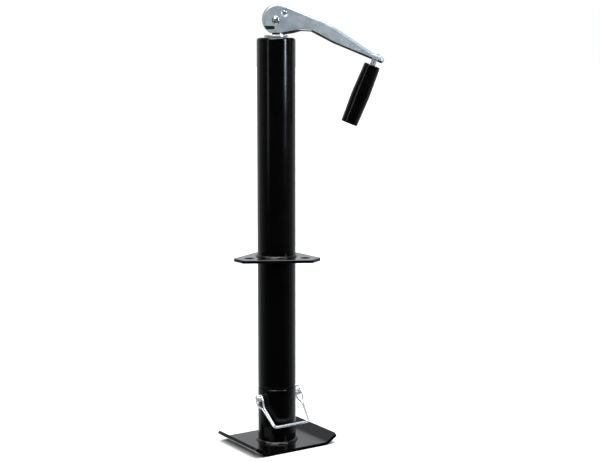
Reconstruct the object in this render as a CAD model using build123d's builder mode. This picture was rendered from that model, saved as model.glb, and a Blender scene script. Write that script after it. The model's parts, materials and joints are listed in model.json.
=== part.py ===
from build123d import *
from math import atan2, cos, degrees, pi, radians, sin, sqrt
import os

# Top-wind A-frame trailer jack, in millimetres. +Z is up the tube, and the origin is the centre
# of the foot plate's underside. +X runs along the foot's lock pin, towards the pin's head, and
# through one of the flange's three bolt holes.

os.makedirs("parts", exist_ok=True)

# ---------------------------------------------------------------- driving dimensions
RUNNING_FIT = 0.08          # radial clearance of a shaft that turns in its hole
FREE_GAP = 0.5              # clearance between faces that stop each other

OUTER_OD = 57.15            # 2 1/4 in tube
OUTER_WALL = 2.77           # 12 gauge
INNER_OD = 50.8             # 2 in tube
INNER_WALL = 2.6
TUBE_BOTTOM = 89.5
TUBE_TOP = 609.0
RIM_RADIUS = 3.8            # rolled rim at the top of the outer tube
RIM_HOLE_D = 28.0

TRAVEL = 381.0              # 15 in of lift

FLANGE_TOP = 286.9
FLANGE_T = 4.76
FLANGE_LONG_APOTHEM = 45.0  # axis to the three long sides
FLANGE_SHORT_APOTHEM = 66.8  # axis to the three short sides, beyond the holes
FLANGE_CORNER_R = 4.0
FLANGE_PCD = 95.25          # 3 3/4 in
FLANGE_HOLE_D = 14.3        # clears a 1/2 in bolt
WELD_LEG = 3.2

PLATE_T = 4.8
PLATE_HALF_X = 54.5         # axis to the start of each upturned end
PLATE_HALF_Y = 55.8
PLATE_END_REACH = 18.8
PLATE_END_RISE = 12.3
PLATE_BEND_R = 9.0
SLEEVE_TOP = 88.0
SLEEVE_WALL = 2.77
FOOT_WELD_LEG = 3.5
PIN_Z = 72.8
PIN_D = 9.5
PIN_HOLE_D = 10.4
PIN_HEAD_D = 11.2
PIN_HEAD_X = 33.0           # centre of the cross holes in the pin's head
PIN_TAIL_X = -38.0          # plane of the bail's closed loop

WIRE_D = 2.4
BAIL_REACH = 54.1           # pin axis to the bail's cross runs
BAIL_DROOP = 41.9           # degrees below horizontal

CAP_T = 8.0
BUSH_OD = 20.0
NECK_D = 12.0
RACE_OD = 34.0
RACE_T = 2.5
BALL_D = 5.0
BALL_COUNT = 11
BALL_PCD = 23.0
CAGE_T = 1.8
SCREW_D = 19.05             # 3/4 in thread
NUT_BODY_H = 25.0
NUT_FLANGE_T = 5.0
STOP_OD = 32.0
STOP_H = 12.0
ROLL_PIN_D = 6.0

WASHER_OD = 35.0
WASHER_T = 3.2
WASHER_Z = TUBE_TOP + 0.8

PIVOT_Z = 634.3
HANDLE_AZIMUTH = 147.5      # degrees from +X, seen from above
HANDLE_DROOP = 21.7         # degrees, with the handle's heel resting on the washer
PIVOT_D = 8.0
SHEET_T = 3.0
ARM_WIDTH = 20.0
ARM_BEND_R = 4.5
HEAD_R = 22.2
CRANK_RADIUS = 155.2
SPINDLE_D = 8.5
GRIP_TOP = -8.2             # below the pivot, with the arm level
GRIP_LENGTH = 91.6
GRIP_END_D = 24.6
GRIP_MAX_D = 27.8

# ---------------------------------------------------------------- derived dimensions
OUTER_R = OUTER_OD / 2
OUTER_BORE_R = OUTER_R - OUTER_WALL
INNER_R = INNER_OD / 2
INNER_BORE_R = INNER_R - INNER_WALL
SLEEVE_BORE_R = OUTER_R - SLEEVE_WALL

CAP_TOP = TUBE_TOP - OUTER_WALL
CAP_BOTTOM = CAP_TOP - CAP_T
UPPER_RACE_BOTTOM = CAP_BOTTOM - RACE_T
BALL_Z = UPPER_RACE_BOTTOM - 0.3 - BALL_D / 2
SHOULDER_Z = BALL_Z - BALL_D / 2 - RACE_T
NUT_TOP = SHOULDER_Z - FREE_GAP
INNER_TOP = NUT_TOP - NUT_FLANGE_T
NUT_BOTTOM = INNER_TOP - NUT_BODY_H
STOP_TOP = NUT_BOTTOM - TRAVEL - FREE_GAP
STOP_BOTTOM = STOP_TOP - STOP_H
SCREW_BOTTOM = STOP_BOTTOM - 7.0
FLANGE_BOTTOM = FLANGE_TOP - FLANGE_T
WASHER_TOP = WASHER_Z + WASHER_T
HEEL_DROP = PIVOT_Z - WASHER_TOP - 0.35


def save(part, name):
    """Label one finished piece and write it as the node of the same name."""
    part.label = name
    export_step(part, f"parts/{name}.step")


def outer_rims(builder):
    """The top and bottom rims of a turned piece's outer wall."""
    return builder.edges().filter_by(GeomType.CIRCLE).sort_by(SortBy.RADIUS)[-2:]


def plane_across(azimuth, origin_z, droop=0.0):
    """Upright plane through the tube's axis: its x runs out along azimuth, dropping by droop."""
    a, d = radians(azimuth), radians(droop)
    out = (cos(a) * cos(d), sin(a) * cos(d), -sin(d))
    return Plane(origin=(0, 0, origin_z), x_dir=out, z_dir=(sin(a), -cos(a), 0))


# ================================================================ barrel: the outer tube
with BuildPart() as outer_tube:
    with BuildSketch(Plane.XZ):
        with BuildLine():
            inner_rim = RIM_RADIUS - OUTER_WALL
            Line((OUTER_R, TUBE_BOTTOM), (OUTER_R, TUBE_TOP - RIM_RADIUS))
            RadiusArc((OUTER_R, TUBE_TOP - RIM_RADIUS), (OUTER_R - RIM_RADIUS, TUBE_TOP), -RIM_RADIUS)
            Line((OUTER_R - RIM_RADIUS, TUBE_TOP), (RIM_HOLE_D / 2, TUBE_TOP))
            Line((RIM_HOLE_D / 2, TUBE_TOP), (RIM_HOLE_D / 2, CAP_TOP))
            Line((RIM_HOLE_D / 2, CAP_TOP), (OUTER_R - RIM_RADIUS, CAP_TOP))
            RadiusArc((OUTER_R - RIM_RADIUS, CAP_TOP), (OUTER_BORE_R, CAP_TOP - inner_rim), inner_rim)
            Line((OUTER_BORE_R, CAP_TOP - inner_rim), (OUTER_BORE_R, TUBE_BOTTOM))
            Line((OUTER_BORE_R, TUBE_BOTTOM), (OUTER_R, TUBE_BOTTOM))
        make_face()
    revolve(axis=Axis.Z)
    fillet(outer_tube.edges().group_by(Axis.Z)[0].sort_by(SortBy.RADIUS)[-1], 1.2)
save(outer_tube.part, "outer_tube")

# The bearing plate sits under the rolled rim.
with BuildPart() as top_cap:
    with BuildSketch(Plane.XY.offset(CAP_BOTTOM)):
        Circle(OUTER_BORE_R)
        Circle(BUSH_OD / 2, mode=Mode.SUBTRACT)
    extrude(amount=CAP_T)
    chamfer(top_cap.edges().group_by(Axis.Z)[-1].sort_by(SortBy.RADIUS)[-1], 2.5)
save(top_cap.part, "top_cap")

with BuildPart() as neck_bush:
    with BuildSketch(Plane.XY.offset(CAP_BOTTOM)):
        Circle(BUSH_OD / 2)
    extrude(amount=CAP_T)
    with BuildSketch(Plane.XY.offset(CAP_TOP)):
        Circle(RIM_HOLE_D / 2 - 0.5)
    extrude(amount=2.0)
    chamfer(neck_bush.edges().group_by(Axis.Z)[-1], 0.5)
    with BuildSketch(Plane.XY.offset(CAP_BOTTOM)):
        Circle(NECK_D / 2 + RUNNING_FIT)
    extrude(amount=CAP_T + 2.0, mode=Mode.SUBTRACT)
save(neck_bush.part, "neck_bush")

with BuildPart() as upper_race:
    with BuildSketch(Plane.XY.offset(UPPER_RACE_BOTTOM)):
        Circle(RACE_OD / 2)
        Circle(NECK_D / 2 + 0.5, mode=Mode.SUBTRACT)
    extrude(amount=RACE_T)
    chamfer(upper_race.edges(), 0.3)
save(upper_race.part, "upper_race")

# The flange is a triangle with its three corners cut off square to the bolt holes' radii.
with BuildPart() as mounting_flange:
    with BuildSketch(Plane.XY.offset(FLANGE_BOTTOM)) as flange_outline:
        RegularPolygon(FLANGE_LONG_APOTHEM, 3, major_radius=False, rotation=0)
        RegularPolygon(FLANGE_SHORT_APOTHEM, 3, major_radius=False, rotation=180, mode=Mode.INTERSECT)
        fillet(flange_outline.vertices(), FLANGE_CORNER_R)
        with PolarLocations(FLANGE_PCD / 2, 3):
            Circle(FLANGE_HOLE_D / 2, mode=Mode.SUBTRACT)
        Circle(OUTER_R, mode=Mode.SUBTRACT)
    extrude(amount=FLANGE_T)
    chamfer(mounting_flange.edges().filter_by(GeomType.LINE).filter_by(Axis.Z, reverse=True), 0.5)
save(mounting_flange.part, "mounting_flange")


def weld_section(foot, leg, up):
    """Slightly domed fillet weld between the tube's wall and a face at height foot."""
    with BuildSketch() as section:
        with BuildLine():
            Line((OUTER_R, foot), (OUTER_R + leg, foot))
            RadiusArc((OUTER_R + leg, foot), (OUTER_R, foot + up * leg), up * -1.6 * leg)
            Line((OUTER_R, foot + up * leg), (OUTER_R, foot))
        make_face()
    return section.sketch


with BuildPart() as flange_weld_top:
    with BuildSketch(Plane.XZ):
        add(weld_section(FLANGE_TOP, WELD_LEG, 1))
    revolve(axis=Axis.Z)
save(flange_weld_top.part, "flange_weld_top")

with BuildPart() as flange_weld_bottom:
    with BuildSketch(Plane.XZ):
        add(weld_section(FLANGE_BOTTOM, WELD_LEG, -1))
    revolve(axis=Axis.Z)
save(flange_weld_bottom.part, "flange_weld_bottom")

# ================================================================ screw and thrust bearing
handle_level = plane_across(HANDLE_AZIMUTH, PIVOT_Z)
SCREW_HEAD_TOP = PIVOT_Z + 9.5

with BuildPart() as lead_screw:
    with BuildSketch(Plane.XY.offset(SCREW_BOTTOM)):
        Circle(SCREW_D / 2)
    extrude(amount=SHOULDER_Z - SCREW_BOTTOM)
    chamfer(lead_screw.edges().group_by(Axis.Z)[0], 1.5)
    with BuildSketch(Plane.XY.offset(SHOULDER_Z)):
        Circle(NECK_D / 2)
    extrude(amount=SCREW_HEAD_TOP - SHOULDER_Z)
    fillet(lead_screw.edges().group_by(Axis.Z)[-1], 2.0)
    with BuildSketch(handle_level):
        Circle(PIVOT_D / 2 + RUNNING_FIT)
    extrude(amount=SCREW_D, both=True, mode=Mode.SUBTRACT)
    with BuildSketch(Plane.XZ):
        with Locations((0, STOP_BOTTOM + STOP_H / 2)):
            Circle(ROLL_PIN_D / 2)
    extrude(amount=SCREW_D, both=True, mode=Mode.SUBTRACT)
save(lead_screw.part, "lead_screw")

with BuildPart() as lower_race:
    with BuildSketch(Plane.XY.offset(SHOULDER_Z)):
        Circle(RACE_OD / 2)
        Circle(NECK_D / 2, mode=Mode.SUBTRACT)
    extrude(amount=RACE_T)
    chamfer(outer_rims(lower_race), 0.3)
save(lower_race.part, "lower_race")

with BuildPart() as bearing_balls:
    with Locations((0, 0, BALL_Z)):
        with PolarLocations(BALL_PCD / 2, BALL_COUNT):
            Sphere(BALL_D / 2)
save(bearing_balls.part, "bearing_balls")

with BuildPart() as bearing_cage:
    with BuildSketch(Plane.XY.offset(BALL_Z - CAGE_T / 2)):
        Circle(BALL_PCD / 2 + 4.4)
        Circle(BALL_PCD / 2 - 4.4, mode=Mode.SUBTRACT)
        with PolarLocations(BALL_PCD / 2, BALL_COUNT):
            Circle(BALL_D / 2 + 0.2, mode=Mode.SUBTRACT)
    extrude(amount=CAGE_T)
save(bearing_cage.part, "bearing_cage")

with BuildPart() as thrust_washer:
    with BuildSketch(Plane.XY.offset(WASHER_Z)):
        Circle(WASHER_OD / 2)
        Circle(NECK_D / 2, mode=Mode.SUBTRACT)
    extrude(amount=WASHER_T)
    fillet(outer_rims(thrust_washer), 0.8)
save(thrust_washer.part, "thrust_washer")

with BuildPart() as screw_stop:
    with BuildSketch(Plane.XY.offset(STOP_BOTTOM)):
        Circle(STOP_OD / 2)
        Circle(SCREW_D / 2, mode=Mode.SUBTRACT)
    extrude(amount=STOP_H)
    chamfer(outer_rims(screw_stop), 1.0)
    with BuildSketch(Plane.XZ):
        with Locations((0, STOP_BOTTOM + STOP_H / 2)):
            Circle(ROLL_PIN_D / 2)
    extrude(amount=STOP_OD, both=True, mode=Mode.SUBTRACT)
save(screw_stop.part, "screw_stop")

with BuildPart() as stop_roll_pin:
    with BuildSketch(Plane.XZ):
        with Locations((0, STOP_BOTTOM + STOP_H / 2)):
            Circle(ROLL_PIN_D / 2)
            Circle(ROLL_PIN_D / 2 - 1.2, mode=Mode.SUBTRACT)
        with Locations((0, STOP_BOTTOM + STOP_H / 2 - ROLL_PIN_D / 2)):
            Rectangle(1.0, ROLL_PIN_D / 2, mode=Mode.SUBTRACT)
    extrude(amount=STOP_OD / 2 - 1.0, both=True)
save(stop_roll_pin.part, "stop_roll_pin")

# ================================================================ drop leg and foot
with BuildPart() as inner_tube:
    with BuildSketch(Plane.XY.offset(PLATE_T + FREE_GAP)):
        Circle(INNER_R)
        Circle(INNER_BORE_R, mode=Mode.SUBTRACT)
    extrude(amount=INNER_TOP - PLATE_T - FREE_GAP)
    with BuildSketch(Plane.YZ):
        with Locations((0, PIN_Z)):
            Circle(PIN_HOLE_D / 2)
        with Locations((0, INNER_TOP - NUT_BODY_H / 2)):
            Circle(4.5)
    extrude(amount=INNER_OD, both=True, mode=Mode.SUBTRACT)
    with BuildSketch(Plane.XZ):
        with Locations((0, INNER_TOP - NUT_BODY_H / 2)):
            Circle(4.5)
    extrude(amount=INNER_OD, both=True, mode=Mode.SUBTRACT)
save(inner_tube.part, "inner_tube")

with BuildPart() as lift_nut:
    with BuildSketch(Plane.XY.offset(NUT_BOTTOM)):
        Circle(INNER_BORE_R)
    extrude(amount=NUT_BODY_H)
    with BuildSketch(Plane.XY.offset(INNER_TOP)):
        Circle(INNER_R)
    extrude(amount=NUT_FLANGE_T)
    chamfer(lift_nut.edges().group_by(Axis.Z)[-1], 0.8)
    with BuildSketch(Plane.XY.offset(NUT_BOTTOM)):
        Circle(SCREW_D / 2 + RUNNING_FIT)
    extrude(amount=NUT_BODY_H + NUT_FLANGE_T, mode=Mode.SUBTRACT)
save(lift_nut.part, "lift_nut")

# Four plugs of weld metal fill the holes in the drop tube and hold the nut.
with BuildPart() as nut_plug_welds:
    with BuildSketch(Plane.YZ):
        with Locations((0, INNER_TOP - NUT_BODY_H / 2)):
            Circle(4.5)
    extrude(amount=INNER_OD, both=True)
    with BuildSketch(Plane.XZ):
        with Locations((0, INNER_TOP - NUT_BODY_H / 2)):
            Circle(4.5)
    extrude(amount=INNER_OD, both=True)
    with BuildSketch(Plane.XY.offset(NUT_BOTTOM)):
        Circle(INNER_R)
        Circle(INNER_BORE_R, mode=Mode.SUBTRACT)
    extrude(amount=NUT_BODY_H, mode=Mode.INTERSECT)
save(nut_plug_welds.part, "nut_plug_welds")

with BuildPart() as foot_sleeve:
    with BuildSketch(Plane.XY.offset(PLATE_T)):
        Circle(OUTER_R)
        Circle(SLEEVE_BORE_R, mode=Mode.SUBTRACT)
    extrude(amount=SLEEVE_TOP - PLATE_T)
    fillet(foot_sleeve.edges().group_by(Axis.Z)[-1].sort_by(SortBy.RADIUS)[-1], 2.0)
    with BuildSketch(Plane.YZ):
        with Locations((0, PIN_Z)):
            Circle(PIN_HOLE_D / 2)
    extrude(amount=OUTER_OD, both=True, mode=Mode.SUBTRACT)
save(foot_sleeve.part, "foot_sleeve")

# A flat plate with its two ends turned up, drawn in section and extruded across.
end_angle = degrees(atan2(PLATE_END_RISE, PLATE_END_REACH))
end_shift = PLATE_T * (1 - cos(radians(end_angle))) / sin(radians(end_angle))
end_tip = (PLATE_HALF_X + PLATE_END_REACH, PLATE_END_RISE)
end_tip_top = (end_tip[0] - PLATE_T * sin(radians(end_angle)), end_tip[1] + PLATE_T * cos(radians(end_angle)))
with BuildPart() as foot_plate:
    with BuildSketch(Plane.XZ) as plate_section:
        with BuildLine():
            Polyline(
                (0, 0), (PLATE_HALF_X, 0), end_tip, end_tip_top,
                (PLATE_HALF_X - end_shift, PLATE_T), (0, PLATE_T), (0, 0),
            )
        make_face()
        bend_outside = plate_section.vertices().filter_by(lambda v: abs(v.X - PLATE_HALF_X) < 0.01)
        fillet(bend_outside, PLATE_BEND_R + PLATE_T)
        bend_inside = plate_section.vertices().filter_by(lambda v: abs(v.X - PLATE_HALF_X + end_shift) < 0.01)
        fillet(bend_inside, PLATE_BEND_R)
        mirror(about=Plane.YZ)
    extrude(amount=PLATE_HALF_Y, both=True)
    corner_edges = foot_plate.edges().filter_by(lambda e: abs(e.center().X) > PLATE_HALF_X + 10)
    fillet(corner_edges.filter_by(lambda e: e.length < PLATE_T + 0.1), 4.0)
save(foot_plate.part, "foot_plate")

with BuildPart() as foot_weld:
    with BuildSketch(Plane.XZ):
        add(weld_section(PLATE_T, FOOT_WELD_LEG, 1))
    revolve(axis=Axis.Z)
save(foot_weld.part, "foot_weld")

# ================================================================ lock pin and its bail
PIN_HEAD_INNER_X = OUTER_R + 0.6
with BuildPart() as lock_pin:
    with BuildSketch(Plane.YZ.offset(PIN_TAIL_X - 4.5)):
        with Locations((0, PIN_Z)):
            Circle(PIN_D / 2)
    extrude(amount=PIN_HEAD_INNER_X - PIN_TAIL_X + 4.5)
    chamfer(lock_pin.edges().group_by(Axis.X)[0], 1.6)
    with BuildSketch(Plane.YZ.offset(PIN_HEAD_INNER_X)):
        with Locations((0, PIN_Z)):
            Circle(PIN_HEAD_D / 2)
    extrude(amount=PIN_HEAD_X + 4.6 - PIN_HEAD_INNER_X)
    fillet(lock_pin.edges().group_by(Axis.X)[-1], 5.0)
    across_bail = Plane(
        origin=(PIN_HEAD_X, 0, PIN_Z), x_dir=(1, 0, 0),
        z_dir=(0, sin(radians(BAIL_DROOP)), cos(radians(BAIL_DROOP))),
    )
    with BuildSketch(across_bail):
        Circle(WIRE_D / 2 + 0.05)
    extrude(amount=PIN_HEAD_D, both=True, mode=Mode.SUBTRACT)
save(lock_pin.part, "lock_pin")

# The bail is one spring wire, doubled: out from the pin's head, across, and round the pin's tail.
# x runs along the pin, out away from it in the bail's plane, and side square to that plane.
bail_out = Vector(0, cos(radians(BAIL_DROOP)), -sin(radians(BAIL_DROOP)))
bail_side = Vector(0, sin(radians(BAIL_DROOP)), cos(radians(BAIL_DROOP)))
HALF_LEGS = 2.4             # half the distance between the two wires of each leg
HALF_CROSS = 1.35           # the same where they run across, nearly touching
HALF_LOOP = 8.6             # half the width where the wire straddles the pin


def bail_point(x, out, side):
    return Vector(x, 0, PIN_Z) + bail_out * out + bail_side * side


half_bail = [
    (PIN_HEAD_X, 0, 2.4),
    (PIN_HEAD_X, 0, HALF_LOOP + 2.4),
    (PIN_HEAD_X, 10, HALF_LOOP),
    (PIN_HEAD_X, 17.5, HALF_LEGS),
    (PIN_HEAD_X - 3.9, BAIL_REACH, HALF_CROSS),
    (PIN_TAIL_X + 5.4, BAIL_REACH, HALF_CROSS),
    (PIN_TAIL_X, 18, HALF_LEGS),
    (PIN_TAIL_X, 8, HALF_LOOP),
    (PIN_TAIL_X, -9.4, HALF_LOOP),
]
half_radii = [4.1, 9.0, 12.0, 4.0, 4.0, 12.0, 9.0, 8.0]
bail_points = [bail_point(*p) for p in half_bail]
bail_points += [bail_point(x, out, -side) for x, out, side in reversed(half_bail)]
with BuildPart() as wire_bail:
    with BuildLine():
        bail_path = FilletPolyline(*bail_points, radius=half_radii + half_radii[::-1])
    with BuildSketch(Plane(origin=bail_path @ 0, z_dir=bail_path % 0)):
        Circle(WIRE_D / 2)
    sweep(path=bail_path)
print("bail wire", round(bail_path.length, 1), "mm, volume against section times length:",
      round(wire_bail.part.volume / (bail_path.length * pi * WIRE_D ** 2 / 4), 3))
save(wire_bail.part, "wire_bail")

# ================================================================ folding crank handle
# Drawn with the arm level: x out along the arm from the pivot, y up. The whole handle droops.
arm_plane = plane_across(HANDLE_AZIMUTH, PIVOT_Z, HANDLE_DROOP)


def hanging(x, y):
    """A point given with x level and y upright, in the drooping arm's own x and y."""
    d = radians(HANDLE_DROOP)
    return (x * cos(d) - y * sin(d), x * sin(d) + y * cos(d))


HEAD_X, HEAD_Y = 1.0, 2.0           # centre of the round head, from the pivot
ARM_TOP = HEAD_Y + HEAD_R
TAB_TOP = 8.4                       # flat seat for the spindle's rivet head
TAB_START_X = 149.0
TIP_X = 168.4
SHANK_R = 3.4                       # of the grip's spindle, through the seat
head_start = (HEAD_X - 2.5, HEAD_Y - sqrt(HEAD_R ** 2 - 2.5 ** 2))
lower_edge = [(TIP_X, 1.8), (90.0, 2.6), (53.5, 6.6), (38.0, 1.5), (13.0, -14.2), head_start]
web_edge = [
    (HEAD_X, ARM_TOP), (75.4, ARM_TOP), (TAB_START_X, TAB_TOP), (TIP_X, TAB_TOP), lower_edge[0],
]
with BuildSketch() as arm_outline:
    with BuildLine():
        FilletPolyline(*web_edge, radius=(150, 12, 6.2))
        FilletPolyline(*lower_edge, radius=(200, 14, 30, 6))
        ThreePointArc(head_start, (HEAD_X - HEAD_R, HEAD_Y), (HEAD_X, ARM_TOP))
    make_face()

# A relief slot ends the bend of the web; below it the cheeks are plain flat lobes.
SLOT_TOP, SLOT_H, SLOT_END_X = -8.3, 5.0, -1.8
with BuildSketch() as below_slot:
    with BuildLine():
        Polyline(
            hanging(-40, SLOT_TOP), hanging(SLOT_END_X, SLOT_TOP), hanging(SLOT_END_X, -40),
            hanging(-40, -40), close=True,
        )
    make_face()
slot_centre_y = SLOT_TOP - SLOT_H / 2
with BuildSketch() as slot:
    with BuildLine():
        Polyline(
            hanging(SLOT_END_X - SLOT_H / 2, SLOT_TOP), hanging(-40, SLOT_TOP),
            hanging(-40, SLOT_TOP - SLOT_H), hanging(SLOT_END_X - SLOT_H / 2, SLOT_TOP - SLOT_H),
        )
        ThreePointArc(
            hanging(SLOT_END_X - SLOT_H / 2, SLOT_TOP - SLOT_H), hanging(SLOT_END_X, slot_centre_y),
            hanging(SLOT_END_X - SLOT_H / 2, SLOT_TOP),
        )
    make_face()

# The space between the cheeks, under the web and open below.
with BuildSketch() as channel_space:
    add(arm_outline.sketch)
    offset(amount=-SHEET_T)
    with BuildLine():
        Polyline(
            hanging(-40, SLOT_TOP), hanging(SLOT_END_X, SLOT_TOP), (53.5, 12.0), (120.0, 11.2),
            (TAB_START_X, TAB_TOP - SHEET_T), (161.0, TAB_TOP - SHEET_T), (TIP_X - SHEET_T, 1.8),
            (TIP_X - SHEET_T, -20.0), (60.0, -40.0), hanging(-40, -40), close=True,
        )
    make_face()

# The far cheek is a little deeper, and its heel rests on the washer.
heel = hanging(10.9, -HEEL_DROP)
with BuildSketch() as far_depth:
    with BuildLine():
        Polyline(
            (TIP_X, 1.8), (TIP_X - 1.5, -0.6), (90.0, 0.3), (53.5, 4.0), (40.0, -0.6), (30.0, -8.0),
            (21.0, -13.2), heel, (13.0, -14.2), (13.0, -8.0), (60.0, 8.0), (90.0, 6.0), close=True,
        )
    make_face()

RIVET_X, RIVET_Y = 7.8, 15.2        # dished recess and its rivet
DISH_R, DISH_FLOOR_R, DISH_DEPTH = 7.0, 4.2, 2.4
BOSS_R, BOSS_H = 5.2, 1.6           # the dish's metal, pushed through to the cheek's inside
cheek_in = ARM_WIDTH / 2 - SHEET_T


def is_web_edge(edge):
    """True for the outline's edges where the web bends into the cheeks."""
    p = arm_plane.to_local_coords(edge.center())
    on_cheek = abs(abs(p.Z) - ARM_WIDTH / 2) < 0.01
    return on_cheek and (p.Y > 7.5 or p.X > 161 or (p.X < 0 and p.Y > 0))


with BuildPart() as handle_arm:
    with BuildSketch(arm_plane):
        add(arm_outline.sketch)
        add(below_slot.sketch, mode=Mode.SUBTRACT)
    extrude(amount=ARM_WIDTH / 2, both=True)
    fillet(handle_arm.edges().filter_by(is_web_edge), ARM_BEND_R)
    with BuildSketch(arm_plane):
        add(channel_space.sketch)
    extrude(amount=cheek_in, both=True, mode=Mode.SUBTRACT)
    with BuildSketch(arm_plane.offset(cheek_in)):
        add(arm_outline.sketch)
        add(below_slot.sketch, mode=Mode.INTERSECT)
        add(slot.sketch, mode=Mode.SUBTRACT)
    extrude(amount=SHEET_T)
    with BuildSketch(arm_plane.offset(-ARM_WIDTH / 2)):
        add(arm_outline.sketch)
        add(below_slot.sketch, mode=Mode.INTERSECT)
        add(far_depth.sketch)
    extrude(amount=SHEET_T)
    for side in (1, -1):
        with BuildSketch(arm_plane.offset(side * cheek_in)):
            with Locations((RIVET_X, RIVET_Y)):
                Circle(BOSS_R)
        extrude(amount=-side * BOSS_H)
        outward = arm_plane.z_dir * side
        dish_centre = arm_plane.from_local_coords(Vector(RIVET_X, RIVET_Y, side * ARM_WIDTH / 2))
        with BuildSketch(Plane(dish_centre, x_dir=arm_plane.x_dir, z_dir=arm_plane.x_dir.cross(outward))):
            with BuildLine():
                Polyline(
                    (DISH_FLOOR_R, -DISH_DEPTH), (0, -DISH_DEPTH), (0, 1.0), (DISH_R + 0.9, 1.0), (DISH_R, 0),
                )
                RadiusArc((DISH_R, 0), (DISH_FLOOR_R, -DISH_DEPTH), 5.0)
            make_face()
        revolve(axis=Axis(dish_centre, outward), mode=Mode.SUBTRACT)
    with BuildSketch(arm_plane):
        Circle(PIVOT_D / 2)
        with Locations((RIVET_X, RIVET_Y)):
            Circle(2.5)
    extrude(amount=ARM_WIDTH, both=True, mode=Mode.SUBTRACT)
    seat_centre = arm_plane.from_local_coords(Vector(CRANK_RADIUS, TAB_TOP, 0))
    with BuildSketch(Plane(origin=seat_centre, z_dir=arm_plane.y_dir)):
        Circle(SHANK_R)
    extrude(amount=-SHEET_T, mode=Mode.SUBTRACT)
save(handle_arm.part, "handle_arm")


# The pivot rivet and the cheek rivet run square to the cheeks, with domed heads outside them.
def rivet(x, y, shank_r, head_r, head_h, seat):
    """Rivet through both cheeks at x, y with its heads' undersides at plus and minus seat."""
    lip = 0.15 * head_h
    dome_r = (head_r ** 2 + (head_h - lip) ** 2) / (2 * (head_h - lip))
    with BuildPart() as made:
        with BuildSketch(arm_plane):
            with Locations((x, y)):
                Circle(shank_r)
        extrude(amount=seat, both=True)
        for side in (1, -1):
            outward = arm_plane.z_dir * side
            foot = arm_plane.from_local_coords(Vector(x, y, side * seat))
            with BuildSketch(Plane(foot, x_dir=arm_plane.x_dir, z_dir=arm_plane.x_dir.cross(outward))):
                with BuildLine():
                    Polyline((0, head_h), (0, 0), (head_r, 0), (head_r, lip))
                    RadiusArc((head_r, lip), (0, head_h), -dome_r)
                make_face()
            revolve(axis=Axis(foot, outward))
    return made.part


save(rivet(0, 0, PIVOT_D / 2, 5.8, 2.6, ARM_WIDTH / 2), "pivot_rivet")
save(rivet(RIVET_X, RIVET_Y, 2.5, 3.1, 1.3, ARM_WIDTH / 2 - DISH_DEPTH), "cheek_rivet")

# The spindle hangs from the arm's tab, square to the arm; the grip turns on it.
spindle_axis = Axis(arm_plane.from_local_coords(Vector(CRANK_RADIUS, 0, 0)), arm_plane.y_dir)
TAIL_R = 3.0                        # through the washer, below the spindle's last shoulder
GRIP_BOTTOM = GRIP_TOP - GRIP_LENGTH
POCKET_R, POCKET_DEPTH = 7.6, 9.0   # in the grip's lower end, round the washer
SHOULDER_Y = GRIP_BOTTOM + POCKET_DEPTH - 0.3
SPINDLE_WASHER_T = 1.5
PLUG_T = 2.5
RIVET_HEAD_R, RIVET_HEAD_H = 4.8, 2.9

with BuildPart() as grip_spindle:
    with BuildSketch(arm_plane):
        with BuildLine():
            x0 = CRANK_RADIUS
            washer_bottom = SHOULDER_Y - SPINDLE_WASHER_T
            dome_foot = TAB_TOP + 0.6
            dome_r = (RIVET_HEAD_R ** 2 + (RIVET_HEAD_H - 0.6) ** 2) / (2 * (RIVET_HEAD_H - 0.6))
            Polyline(
                (x0, dome_foot + RIVET_HEAD_H - 0.6), (x0, washer_bottom - 2.0),
                (x0 + TAIL_R + 1.0, washer_bottom - 2.0), (x0 + TAIL_R + 1.6, washer_bottom - 1.4),
                (x0 + TAIL_R + 1.6, washer_bottom), (x0 + TAIL_R, washer_bottom),
                (x0 + TAIL_R, SHOULDER_Y), (x0 + SPINDLE_D / 2, SHOULDER_Y),
                (x0 + SPINDLE_D / 2, TAB_TOP - SHEET_T), (x0 + SHANK_R, TAB_TOP - SHEET_T),
                (x0 + SHANK_R, TAB_TOP), (x0 + RIVET_HEAD_R, TAB_TOP), (x0 + RIVET_HEAD_R, dome_foot),
            )
            RadiusArc((x0 + RIVET_HEAD_R, dome_foot), (x0, dome_foot + RIVET_HEAD_H - 0.6), -dome_r)
        make_face()
    revolve(axis=spindle_axis)
save(grip_spindle.part, "grip_spindle")

with BuildPart() as spindle_washer:
    with BuildSketch(Plane(spindle_axis.position, z_dir=arm_plane.y_dir).offset(SHOULDER_Y - SPINDLE_WASHER_T)):
        Circle(POCKET_R - 0.5)
        Circle(TAIL_R, mode=Mode.SUBTRACT)
    extrude(amount=SPINDLE_WASHER_T)
save(spindle_washer.part, "spindle_washer")

with BuildPart() as handle_grip:
    with BuildSketch(arm_plane):
        with BuildLine():
            x0 = CRANK_RADIUS
            bore_r = SPINDLE_D / 2 + RUNNING_FIT
            Polyline(
                (x0 + GRIP_END_D / 2, GRIP_TOP), (x0 + bore_r, GRIP_TOP),
                (x0 + bore_r, GRIP_BOTTOM + POCKET_DEPTH), (x0 + POCKET_R, GRIP_BOTTOM + POCKET_DEPTH),
                (x0 + POCKET_R, GRIP_BOTTOM), (x0 + GRIP_END_D / 2 + 0.2, GRIP_BOTTOM),
            )
            FilletPolyline(
                (x0 + GRIP_END_D / 2 + 0.2, GRIP_BOTTOM), (x0 + GRIP_MAX_D / 2, GRIP_TOP - GRIP_LENGTH / 2),
                (x0 + GRIP_END_D / 2, GRIP_TOP), radius=200,
            )
        make_face()
    revolve(axis=spindle_axis)
    rims = handle_grip.edges().filter_by(GeomType.CIRCLE).filter_by(lambda e: 11 < e.radius < 13)
    fillet(rims, 1.3)
save(handle_grip.part, "handle_grip")

with BuildPart() as grip_plug:
    with BuildSketch(Plane(spindle_axis.position, z_dir=arm_plane.y_dir).offset(GRIP_BOTTOM + 0.4)):
        Circle(POCKET_R)
    extrude(amount=PLUG_T)
save(grip_plug.part, "grip_plug")
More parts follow.
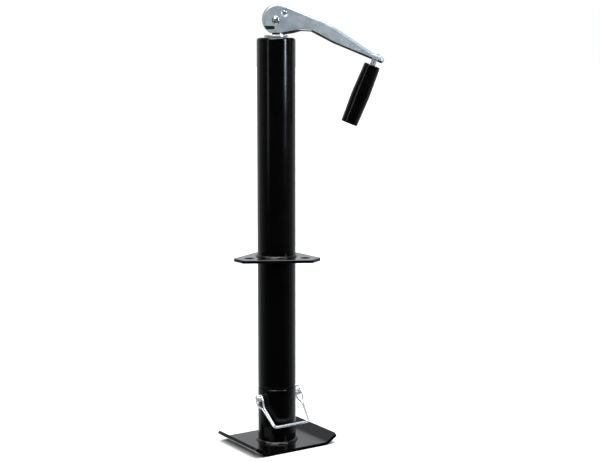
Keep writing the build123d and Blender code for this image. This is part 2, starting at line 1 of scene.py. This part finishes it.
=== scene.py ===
"""Trailer tongue jack: looks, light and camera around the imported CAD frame."""

import json
import math

import bpy
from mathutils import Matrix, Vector


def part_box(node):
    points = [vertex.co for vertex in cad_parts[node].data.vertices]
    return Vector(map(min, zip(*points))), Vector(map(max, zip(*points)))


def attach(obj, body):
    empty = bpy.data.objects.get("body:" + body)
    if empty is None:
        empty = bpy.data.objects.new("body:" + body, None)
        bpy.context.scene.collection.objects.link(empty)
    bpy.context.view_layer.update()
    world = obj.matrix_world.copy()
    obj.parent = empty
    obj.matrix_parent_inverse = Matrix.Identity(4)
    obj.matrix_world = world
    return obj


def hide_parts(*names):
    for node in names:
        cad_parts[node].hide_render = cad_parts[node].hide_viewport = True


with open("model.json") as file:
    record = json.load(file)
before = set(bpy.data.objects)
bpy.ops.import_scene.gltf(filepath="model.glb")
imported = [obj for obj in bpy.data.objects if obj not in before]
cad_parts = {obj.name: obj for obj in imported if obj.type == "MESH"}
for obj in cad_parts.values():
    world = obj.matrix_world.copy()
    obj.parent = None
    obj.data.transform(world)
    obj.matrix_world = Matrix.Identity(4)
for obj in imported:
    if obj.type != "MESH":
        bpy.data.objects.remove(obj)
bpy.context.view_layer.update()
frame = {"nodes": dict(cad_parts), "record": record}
nodes = frame["nodes"]


# ---------------------------------------------------------------- sizes read from the frame
tube_low, tube_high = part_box("outer_tube")
TUBE_R = (tube_high.x - tube_low.x) / 2

# The folding arm's own directions at rest, and its shape in them, in metres from the pivot.
fold = next(j for j in frame["record"]["behaviour"]["joints"] if j["name"] == "handle_fold")
PIVOT = Vector(fold["pos_m"])
ARM_ACROSS = Vector(fold["axis"])
ARM_DROOP = math.radians(21.7)                    # how far the arm slopes down from level
arm_level = Vector((-ARM_ACROSS.y, ARM_ACROSS.x, 0.0))
ARM_OUT = arm_level * math.cos(ARM_DROOP) - Vector((0, 0, math.sin(ARM_DROOP)))
ARM_UP = arm_level * math.sin(ARM_DROOP) + Vector((0, 0, math.cos(ARM_DROOP)))
HEAD_X, HEAD_Y, HEAD_R = 0.0010, 0.0020, 0.0222   # centre and radius of the rounded head
ARM_TOP, TAB_TOP = 0.0242, 0.0084                 # top of the web, before and after its slope
SLOPE_START, SLOPE_END = 0.0754, 0.1490           # where that slope runs, along the arm
CHEEK_IN = 0.0070                                 # inner face of a cheek, from the middle
WEB_INSET = 0.0015                                # the channel starts this far under the web
CHEEK_SLACK = 0.0003                              # takes in the cheek's inner face itself
CHANNEL_SHADE_STRENGTH = 0.85                               # how far the painted shade darkens the zinc in there

# ---------------------------------------------------------------- material building blocks


class Nodes:
    """Small helper that adds nodes to one material and links them."""

    def __init__(self, name):
        self.material = bpy.data.materials.new(name)
        self.material.use_nodes = True
        self.tree = self.material.node_tree
        self.shader = self.tree.nodes["Principled BSDF"]
        coords = self.tree.nodes.new("ShaderNodeTexCoord")
        self.place = coords.outputs["Object"]

    def stretched(self, scale):
        """Object coordinates scaled by a vector, for grain that runs one way."""
        mapping = self.tree.nodes.new("ShaderNodeMapping")
        mapping.inputs["Scale"].default_value = scale
        self.tree.links.new(self.place, mapping.inputs["Vector"])
        return mapping.outputs["Vector"]

    def noise(self, scale, detail=3.0, roughness=0.5, place=None):
        """Noise with this many cycles a metre; its values gather round 0.5."""
        node = self.tree.nodes.new("ShaderNodeTexNoise")
        node.inputs["Scale"].default_value = scale
        node.inputs["Detail"].default_value = detail
        node.inputs["Roughness"].default_value = roughness
        self.tree.links.new(place or self.place, node.inputs["Vector"])
        return node.outputs["Fac"]

    def ramp(self, value, low, high, from_min=0.3, from_max=0.7):
        """Maps a noise value from its usual spread to low..high."""
        node = self.tree.nodes.new("ShaderNodeMapRange")
        node.inputs["From Min"].default_value = from_min
        node.inputs["From Max"].default_value = from_max
        node.inputs["To Min"].default_value = low
        node.inputs["To Max"].default_value = high
        self.tree.links.new(value, node.inputs["Value"])
        return node.outputs["Result"]

    def cloud(self, scale, detail=3.0):
        """Soft patches that run from 0 to 1."""
        return self.ramp(self.noise(scale, detail), 0.0, 1.0)

    def blend(self, factor, first, second):
        """A colour from first to second as factor goes from 0 to 1; first may be an output."""
        node = self.tree.nodes.new("ShaderNodeMix")
        node.data_type = "RGBA"
        self.tree.links.new(factor, node.inputs["Factor"])
        if isinstance(first, tuple):
            node.inputs["A"].default_value = (*first, 1.0)
        else:
            self.tree.links.new(first, node.inputs["A"])
        node.inputs["B"].default_value = (*second, 1.0)
        return node.outputs["Result"]

    def bump(self, height, distance, under=None):
        """Surface relief of this height in metres, over another bump if one is given."""
        node = self.tree.nodes.new("ShaderNodeBump")
        node.inputs["Distance"].default_value = distance
        node.inputs["Strength"].default_value = 1.0
        self.tree.links.new(height, node.inputs["Height"])
        if under:
            self.tree.links.new(under, node.inputs["Normal"])
        return node.outputs["Normal"]

    def along(self, origin, direction):
        """How far a point lies from origin along a unit direction, in metres."""
        shifted = self.tree.nodes.new("ShaderNodeVectorMath")
        shifted.operation = "SUBTRACT"
        shifted.inputs[1].default_value = origin
        self.tree.links.new(self.place, shifted.inputs[0])
        node = self.tree.nodes.new("ShaderNodeVectorMath")
        node.operation = "DOT_PRODUCT"
        node.inputs[1].default_value = direction
        self.tree.links.new(shifted.outputs["Vector"], node.inputs[0])
        return node.outputs["Value"]

    def maths(self, operation, first, second=0.0):
        """Math node; each argument is an output or a plain number."""
        node = self.tree.nodes.new("ShaderNodeMath")
        node.operation = operation
        for socket, value in zip(node.inputs, (first, second)):
            if isinstance(value, (int, float)):
                socket.default_value = value
            else:
                self.tree.links.new(value, socket)
        return node.outputs["Value"]

    def into(self, socket, output):
        """Feeds an output to one of the shader's sockets."""
        self.tree.links.new(output, self.shader.inputs[socket])

    def set(self, **values):
        """Sets the shader's sockets; an underscore stands for a space in a socket's name."""
        for socket, value in values.items():
            self.shader.inputs[socket.replace("_", " ")].default_value = value


PAINT_DARK, PAINT_PALE = (0.0005, 0.0005, 0.0006), (0.0012, 0.0012, 0.0013)
TUBE_PEEL, PLATE_PEEL, WELD_PEEL = 0.00004, 0.00005, 0.00006   # height of the orange peel
FINE_PEEL = 0.3                                                # its finer layer, against the coarse


def gloss_black(name, peel):
    """Powder coat: nearly black, glossy, with a fine orange peel."""
    n = Nodes(name)
    n.set(Specular_IOR_Level=0.42)
    n.into("Base Color", n.blend(n.cloud(18.0), PAINT_DARK, PAINT_PALE))
    n.into("Roughness", n.ramp(n.noise(45.0, 4.0), 0.13, 0.22))
    soft = n.bump(n.noise(260.0, 2.0), peel)
    n.into("Normal", n.bump(n.noise(900.0, 2.0), peel * FINE_PEEL, under=soft))
    return n.material


ROLLED_GRAIN = (30.0, 30.0, 260.0)       # the marks' cycles a metre along x, y and z
TURNED_GRAIN = (220.0, 220.0, 220.0)
DRAWN_GRAIN = (160.0, 160.0, 160.0)
CHANNEL_SHADE_COLOUR = (0.03, 0.034, 0.038)      # painted shade inside the handle's channel, where little light reaches
SHEET_WAVE, GRAIN_DEPTH = 0.00012, 0.00002


def zinc(name, grain, rough, pale, dull, metal, painted_shade=None):
    """Zinc plate over steel; the optional mask says how much painted shade darkens it at each point."""
    n = Nodes(name)
    n.set(Metallic=metal, Specular_IOR_Level=0.6)
    cloud = n.ramp(n.noise(55.0, detail=6.0, roughness=0.65), 0.0, 1.0, from_min=0.36, from_max=0.64)
    colour = n.blend(cloud, pale, dull)
    if painted_shade:
        # painted shade: darkens the zinc inside the handle's channel, where little light reaches
        colour = n.blend(painted_shade(n), colour, CHANNEL_SHADE_COLOUR)
    n.into("Base Color", colour)
    lines = n.noise(1.0, detail=4.0, roughness=0.6, place=n.stretched(grain))
    n.into("Roughness", n.ramp(lines, *rough))
    wide = n.bump(n.noise(70.0), SHEET_WAVE)
    n.into("Normal", n.bump(lines, GRAIN_DEPTH, under=wide))
    return n.material


def painted_channel_shade(n):
    """Painted shade's strength on the faces inside the handle's channel, where little light reaches, or
    0.
    """
    across = n.maths("ABSOLUTE", n.along(PIVOT, ARM_ACROSS))
    out, rise = n.along(PIVOT, ARM_OUT), n.along(PIVOT, ARM_UP)
    slope = (ARM_TOP - TAB_TOP) / (SLOPE_END - SLOPE_START)
    drop = n.maths("MULTIPLY", n.maths("SUBTRACT", out, SLOPE_START), slope)
    web = n.maths("SUBTRACT", ARM_TOP, drop)
    web = n.maths("MAXIMUM", n.maths("MINIMUM", web, ARM_TOP), TAB_TOP)
    under = n.maths("LESS_THAN", rise, n.maths("SUBTRACT", web, WEB_INSET))
    head_x = n.maths("MINIMUM", n.maths("SUBTRACT", out, HEAD_X), 0.0)
    head_y = n.maths("SUBTRACT", rise, HEAD_Y)
    squares = n.maths("ADD", n.maths("POWER", head_x, 2.0), n.maths("POWER", head_y, 2.0))
    reach = n.maths("SQRT", squares)
    in_head = n.maths("LESS_THAN", reach, HEAD_R - WEB_INSET)
    in_head = n.maths("MAXIMUM", in_head, n.maths("GREATER_THAN", out, HEAD_X))
    between = n.maths("LESS_THAN", across, CHEEK_IN + CHEEK_SLACK)
    inside = n.maths("MULTIPLY", under, in_head)
    return n.maths("MULTIPLY", inside, n.maths("MULTIPLY", between, CHANNEL_SHADE_STRENGTH))


def black_plastic(name):
    """Moulded black plastic with a soft sheen and faint flow marks."""
    n = Nodes(name)
    n.set(Specular_IOR_Level=0.6)
    n.into("Base Color", n.blend(n.cloud(30.0), (0.0008, 0.0008, 0.0009), (0.002, 0.002, 0.0022)))
    n.into("Roughness", n.ramp(n.noise(60.0), 0.09, 0.15))
    n.into("Normal", n.bump(n.noise(180.0, 2.0), 0.00003))
    return n.material


def plain_metal(name, pale, dull, rough):
    """Bare metal with a mottled tone: oiled steel, bearing steel or bronze."""
    n = Nodes(name)
    n.set(Metallic=1.0)
    n.into("Base Color", n.blend(n.cloud(60.0, 4.0), pale, dull))
    n.into("Roughness", n.ramp(n.noise(180.0), *rough))
    n.into("Normal", n.bump(n.noise(480.0), GRAIN_DEPTH))
    return n.material


looks = {
    "tube_paint": gloss_black("tube_paint", TUBE_PEEL),
    "flange_paint": gloss_black("flange_paint", PLATE_PEEL),
    "weld_paint": gloss_black("weld_paint", WELD_PEEL),
    "foot_paint": gloss_black("foot_paint", PLATE_PEEL),
    # the handle's zinc carries painted shade inside its channel
    "zinc_pressed": zinc(
        "zinc_pressed", ROLLED_GRAIN, rough=(0.30, 0.46),
        pale=(0.56, 0.62, 0.66), dull=(0.34, 0.40, 0.44), metal=0.6, painted_shade=painted_channel_shade),
    "zinc_bright": zinc(
        "zinc_bright", TURNED_GRAIN, rough=(0.20, 0.32),
        pale=(0.84, 0.86, 0.88), dull=(0.64, 0.67, 0.70), metal=0.65),
    "zinc_turned": zinc(
        "zinc_turned", TURNED_GRAIN, rough=(0.16, 0.28),
        pale=(0.62, 0.64, 0.66), dull=(0.40, 0.42, 0.44), metal=0.88),
    "zinc_wire": zinc(
        "zinc_wire", DRAWN_GRAIN, rough=(0.22, 0.34),
        pale=(0.86, 0.88, 0.90), dull=(0.66, 0.69, 0.72), metal=0.6),
    "grip_plastic": black_plastic("grip_plastic"),
    "dark_steel": plain_metal(
        "dark_steel", pale=(0.070, 0.070, 0.074), dull=(0.030, 0.029, 0.028), rough=(0.28, 0.45)),
    "bearing_steel": plain_metal(
        "bearing_steel", pale=(0.62, 0.63, 0.65), dull=(0.50, 0.51, 0.53), rough=(0.15, 0.25)),
    "bronze": plain_metal(
        "bronze", pale=(0.62, 0.42, 0.20), dull=(0.48, 0.30, 0.13), rough=(0.28, 0.42)),
}

for part in frame["record"]["subparts"]:
    mesh = nodes[part["node"]].data
    mesh.materials.clear()
    mesh.materials.append(looks[part["material_slot"]])

# ---------------------------------------------------------------- rippled weld beads
BEAD_RIPPLES = 58            # the arc's ripples round the tube
BEAD_STEPS, BEAD_ROWS = 920, 12   # mesh divisions round the tube and across the bead
BEAD_FILL = 0.97             # the bead's leg against the CAD weld's
BEAD_SINK = 0.0002           # its back lies this far inside the tube's face, in metres
RIPPLE_RISE = 0.045          # height of a ripple against the leg
RIPPLE_SWEEP = 2.2           # how far a ripple bows across the bead, in radians of its cycle


def weld_bead(node, up):
    """Fillet bead round the tube in place of a CAD weld: domed, with the arc's overlapping ripples."""
    low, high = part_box(node)
    size = (high.z - low.z) * BEAD_FILL
    foot = low.z if up > 0 else high.z
    inner = TUBE_R - BEAD_SINK
    verts, faces = [], []
    for i in range(BEAD_STEPS):
        a = 2 * math.pi * i / BEAD_STEPS
        # The leg varies slowly round the tube, as a hand-laid bead's does.
        wander = 1.0 + 0.05 * math.sin(7 * a) + 0.03 * math.sin(17 * a + 1.0)
        for k in range(BEAD_ROWS + 1):
            t = k / BEAD_ROWS
            q = t * math.pi / 2
            dome = 0.5 + 0.5 / (math.cos(q) + math.sin(q))
            crest = math.sin(math.pi * t)
            phase = BEAD_RIPPLES * a + RIPPLE_SWEEP * crest
            swell = dome + RIPPLE_RISE * crest * (abs(math.sin(phase / 2)) - 0.5)
            r = inner + size * math.cos(q) * swell * wander
            z = foot + up * (size * math.sin(q) * swell * wander)
            verts.append((r * math.cos(a), r * math.sin(a), z))
        verts.append((inner * math.cos(a), inner * math.sin(a), foot))
    ring = BEAD_ROWS + 2
    for i in range(BEAD_STEPS):
        j = (i + 1) % BEAD_STEPS
        for k in range(ring):
            m = (k + 1) % ring
            face = [i * ring + k, j * ring + k, j * ring + m, i * ring + m]
            faces.append(face if up > 0 else face[::-1])
    mesh = bpy.data.meshes.new(node + "_bead")
    mesh.from_pydata(verts, [], faces)
    mesh.polygons.foreach_set("use_smooth", [True] * len(faces))
    bead = bpy.data.objects.new(node + "_bead", mesh)
    bpy.context.scene.collection.objects.link(bead)
    mesh.materials.append(looks["weld_paint"])
    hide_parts(node)
    return bead


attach(weld_bead("flange_weld_top", 1), "barrel")
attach(weld_bead("flange_weld_bottom", -1), "barrel")
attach(weld_bead("foot_weld", 1), "drop_leg")

# ---------------------------------------------------------------- floor, light and camera
FLOOR_SIZE = 400.0           # metres, so that its far edge lies near the horizon
BACKDROP_STRENGTH = 1.0      # white that the camera sees
ROOM_STRENGTH = 0.95         # the room's light at its brightest, opposite the camera
ROOM_FALL = 2.6              # how fast that fades to nothing at the camera's side
MIDDLE = (0, 0, 0.5)         # the point that both strip lights face


def make_floor():
    """Plain pale floor under the foot."""
    bpy.ops.mesh.primitive_plane_add(size=FLOOR_SIZE)
    floor = bpy.context.object
    floor.name = "floor"
    n = Nodes("floor")
    n.set(Roughness=0.9, Specular_IOR_Level=0.1)
    n.into("Base Color", n.blend(n.cloud(3.0), (0.86, 0.86, 0.86), (0.88, 0.88, 0.88)))
    floor.data.materials.append(n.material)
    floor.visible_glossy = False


def make_world():
    """White behind the object; what the object reflects fades from white at the back to dark in front."""
    world = bpy.data.worlds.new("studio")
    bpy.context.scene.world = world
    world.use_nodes = True
    tree = world.node_tree
    room = tree.nodes["Background"]
    room.inputs["Color"].default_value = (0.93, 0.96, 1.0, 1.0)
    a = math.radians(CAMERA_AZIMUTH)
    coords = tree.nodes.new("ShaderNodeTexCoord")
    facing = tree.nodes.new("ShaderNodeVectorMath")
    facing.operation = "DOT_PRODUCT"
    facing.inputs[1].default_value = (math.cos(a), math.sin(a), 0.0)
    tree.links.new(coords.outputs["Generated"], facing.inputs[0])
    spread = tree.nodes.new("ShaderNodeMapRange")
    spread.inputs["From Min"].default_value = 1.0
    spread.inputs["From Max"].default_value = -1.0
    tree.links.new(facing.outputs["Value"], spread.inputs["Value"])
    curve = tree.nodes.new("ShaderNodeMath")
    curve.operation = "POWER"
    curve.inputs[1].default_value = ROOM_FALL
    tree.links.new(spread.outputs["Result"], curve.inputs[0])
    level = tree.nodes.new("ShaderNodeMath")
    level.operation = "MULTIPLY"
    level.inputs[1].default_value = ROOM_STRENGTH
    tree.links.new(curve.outputs["Value"], level.inputs[0])
    tree.links.new(level.outputs["Value"], room.inputs["Strength"])
    backdrop = tree.nodes.new("ShaderNodeBackground")
    backdrop.inputs["Color"].default_value = (1.0, 1.0, 1.0, 1.0)
    backdrop.inputs["Strength"].default_value = BACKDROP_STRENGTH
    path = tree.nodes.new("ShaderNodeLightPath")
    mix = tree.nodes.new("ShaderNodeMixShader")
    tree.links.new(path.outputs["Is Camera Ray"], mix.inputs["Fac"])
    tree.links.new(room.outputs["Background"], mix.inputs[1])
    tree.links.new(backdrop.outputs["Background"], mix.inputs[2])
    tree.links.new(mix.outputs["Shader"], tree.nodes["World Output"].inputs["Surface"])


def make_sun(name, strength, wide, azimuth=0.0, height=90.0):
    """Sun from azimuth and height, in degrees, wide enough to leave only a soft shadow."""
    light = bpy.data.lights.new(name, "SUN")
    light.energy = strength
    light.angle = math.radians(wide)
    lamp = bpy.data.objects.new(name, light)
    a, h = math.radians(azimuth), math.radians(height)
    lamp.location = (math.cos(a) * math.cos(h), math.sin(a) * math.cos(h), math.sin(h))
    lamp.rotation_euler = (-lamp.location).to_track_quat("-Z", "Y").to_euler()
    bpy.context.scene.collection.objects.link(lamp)


def softbox(name, azimuth, distance, height, width, tall, radiance, tint=(1.0, 1.0, 1.0)):
    """Area light that stands at azimuth, in degrees from +X, and faces the object's middle."""
    light = bpy.data.lights.new(name, "AREA")
    light.shape = "RECTANGLE"
    light.size, light.size_y = width, tall
    light.energy = radiance * math.pi * width * tall
    light.color = tint
    a = math.radians(azimuth)
    lamp = bpy.data.objects.new(name, light)
    lamp.location = (distance * math.cos(a), distance * math.sin(a), height)
    lamp.rotation_euler = (Vector(MIDDLE) - lamp.location).to_track_quat("-Z", "Y").to_euler()
    bpy.context.scene.collection.objects.link(lamp)


CAMERA_AZIMUTH = 57.66       # degrees from +X
CAMERA_DISTANCE = 1.856      # metres from the tube's axis
CAMERA_HEIGHT = 0.5705       # metres over the floor
CAMERA_PITCH = 7.56          # degrees down
CAMERA_YAW = 1.08            # degrees to its right of the tube
CAMERA_LENS = 75.32          # mm on a 36 mm sensor


def make_camera():
    """Camera at its azimuth, aimed down by the pitch and turned right by the yaw."""
    camera = bpy.data.objects.new("camera", bpy.data.cameras.new("camera"))
    a = math.radians(CAMERA_AZIMUTH)
    camera.location = (CAMERA_DISTANCE * math.cos(a), CAMERA_DISTANCE * math.sin(a), CAMERA_HEIGHT)
    heading = CAMERA_AZIMUTH + 90.0 - CAMERA_YAW
    camera.rotation_euler = (math.radians(90.0 - CAMERA_PITCH), 0.0, math.radians(heading))
    camera.data.sensor_width = 36.0
    camera.data.lens = CAMERA_LENS
    bpy.context.scene.collection.objects.link(camera)
    bpy.context.scene.camera = camera


make_floor()
make_world()
make_sun("overhead", strength=4.0, wide=50.0)
make_sun("front", strength=1.5, wide=35.0, azimuth=CAMERA_AZIMUTH - 25.0, height=45.0)
softbox("strip_right", CAMERA_AZIMUTH + 56.0, distance=1.3, height=0.95,
        width=0.14, tall=0.9, radiance=24.0, tint=(0.78, 0.86, 1.0))
softbox("strip_left", CAMERA_AZIMUTH - 49.0, distance=1.6, height=0.80,
        width=0.14, tall=1.0, radiance=2.0)
make_camera()
bpy.context.scene.view_settings.view_transform = "Standard"
